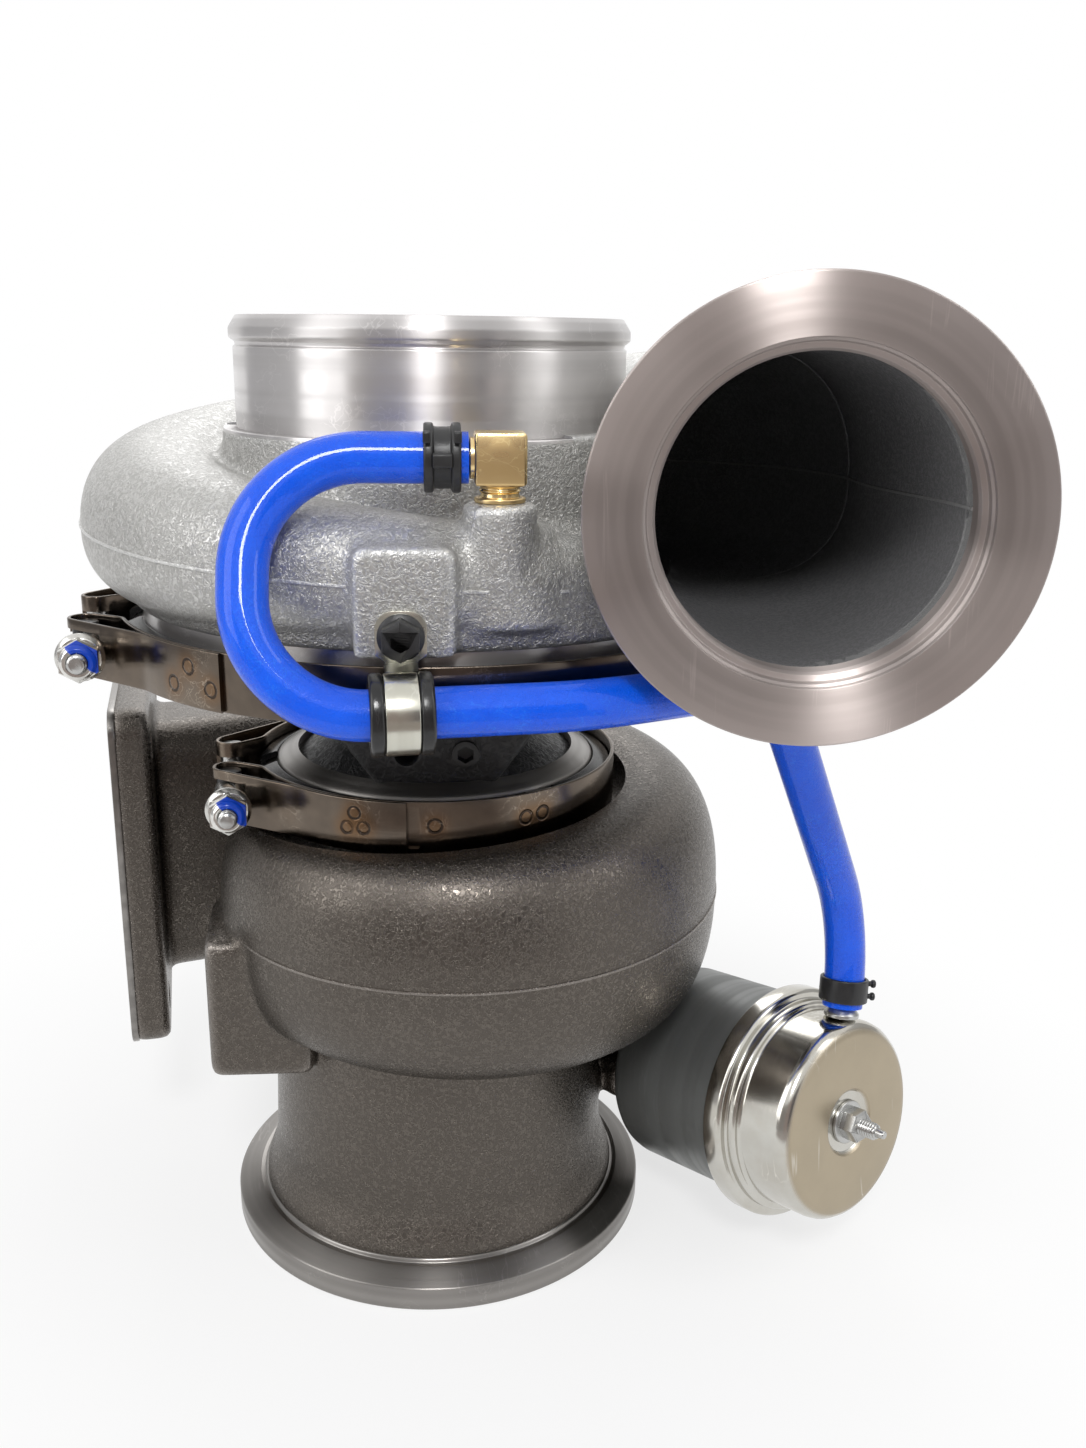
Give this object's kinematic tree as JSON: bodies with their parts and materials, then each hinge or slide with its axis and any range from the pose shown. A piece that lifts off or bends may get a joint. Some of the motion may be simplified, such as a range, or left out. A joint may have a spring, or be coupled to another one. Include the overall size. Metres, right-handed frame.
{
  "type": "turbocharger",
  "caption": "Turbocharger with twin scroll turbine housing, V-band clamps, open compressor inlet, flanged outlet and a wastegate actuator on a blue hose.",
  "frame": {"origin": "centre of the turbine outlet's flange face, on the shaft's axis", "axes": "+Z along the shaft towards the compressor inlet; -X is the way the turbine inlet flange faces"},
  "size_m": [0.2782, 0.2852, 0.3322],
  "materials": {
    "compressor_casting": "sand cast, with machined flange and inlet",
    "compressor_plate": "machined cast plate",
    "turbine_casting": "bare iron, sand cast, with machined flanges",
    "bearing_casting": "black paint on cast iron",
    "compressor_wheel": "milled",
    "turbine_wheel": "cast nickel alloy with a ground shaft",
    "machined_steel": "machined",
    "spring_steel": "hard drawn wire",
    "bronze": "machined bronze",
    "clamp_band": "rolled stainless strip, tinted by heat",
    "clamp_retainer": "black coated",
    "clamp_hardware": "plated",
    "hose": "glossy blue silicone",
    "brass": "machined brass",
    "black_steel": "black coated steel",
    "black_rubber": "matte",
    "zinc": "zinc plated",
    "can": "satin dark grey"
  },
  "bodies": {
    "housings": {"compressor_housing": "compressor_casting", "backplate": "compressor_plate", "turbine_housing": "turbine_casting", "bearing_housing": "bearing_casting", "oil_deflector": "machined_steel", "piston_ring_turbine": "machined_steel", "piston_ring_compressor": "machined_steel", "bearing_spacer": "machined_steel", "heat_shield": "machined_steel", "wastegate_seat": "machined_steel", "wastegate_spring": "spring_steel", "thrust_bearing": "bronze", "wastegate_bush": "bronze", "compressor_clamp_band": "clamp_band", "turbine_clamp_band": "clamp_band", "compressor_clamp_retainer_1": "clamp_retainer", "compressor_clamp_retainer_2": "clamp_retainer", "compressor_clamp_retainer_3": "clamp_retainer", "turbine_clamp_retainer_1": "clamp_retainer", "turbine_clamp_retainer_2": "clamp_retainer", "turbine_clamp_retainer_3": "clamp_retainer", "compressor_clamp_trunnion": "clamp_hardware", "compressor_clamp_tbolt": "clamp_hardware", "compressor_clamp_nut": "clamp_hardware", "turbine_clamp_trunnion": "clamp_hardware", "turbine_clamp_tbolt": "clamp_hardware", "turbine_clamp_nut": "clamp_hardware", "boost_hose": "hose", "boost_elbow": "brass", "elbow_hose_clamp": "black_steel", "actuator_hose_clamp": "black_steel", "clip_bolt": "black_steel", "feed_pad_plug": "black_steel", "backplate_bolt_1": "black_steel", "backplate_bolt_2": "black_steel", "backplate_bolt_3": "black_steel", "backplate_bolt_4": "black_steel", "clip_cushion": "black_rubber", "diaphragm": "black_rubber", "backplate_oring": "black_rubber", "clip_strap": "zinc", "actuator_cap": "zinc", "stop_screw": "zinc", "stop_screw_nut": "zinc", "hose_nipple": "zinc", "actuator_bolt_1": "zinc", "actuator_bolt_2": "zinc", "actuator_can": "can"},
    "rotor": {"turbine_wheel_shaft": "turbine_wheel", "compressor_wheel": "compressor_wheel", "compressor_nut": "machined_steel", "thrust_collar": "machined_steel", "oil_slinger": "machined_steel"},
    "turbine_bushing": {"journal_bearing_turbine": "bronze"},
    "compressor_bushing": {"journal_bearing_compressor": "bronze"},
    "valve": {"wastegate_valve": "machined_steel", "diaphragm_piston": "machined_steel", "stem_nut": "machined_steel"}
  },
  "joints": [
    {"name": "rotor_spin", "type": "hinge", "parent": "housings", "child": "rotor", "pos_m": [0, 0, 0.19], "axis": [0, 0, 1], "continuous": true},
    {"name": "turbine_bushing_spin", "type": "hinge", "parent": "housings", "child": "turbine_bushing", "pos_m": [0, 0, 0.169], "axis": [0, 0, 1], "continuous": true},
    {"name": "compressor_bushing_spin", "type": "hinge", "parent": "housings", "child": "compressor_bushing", "pos_m": [0, 0, 0.1936], "axis": [0, 0, 1], "continuous": true},
    {"name": "valve_lift", "type": "slide", "parent": "housings", "child": "valve", "axis": [-0.4341, 0.89, -0.1392], "range_m": [0, 0.009], "deforming": ["wastegate_spring", "diaphragm"]}
  ]
}
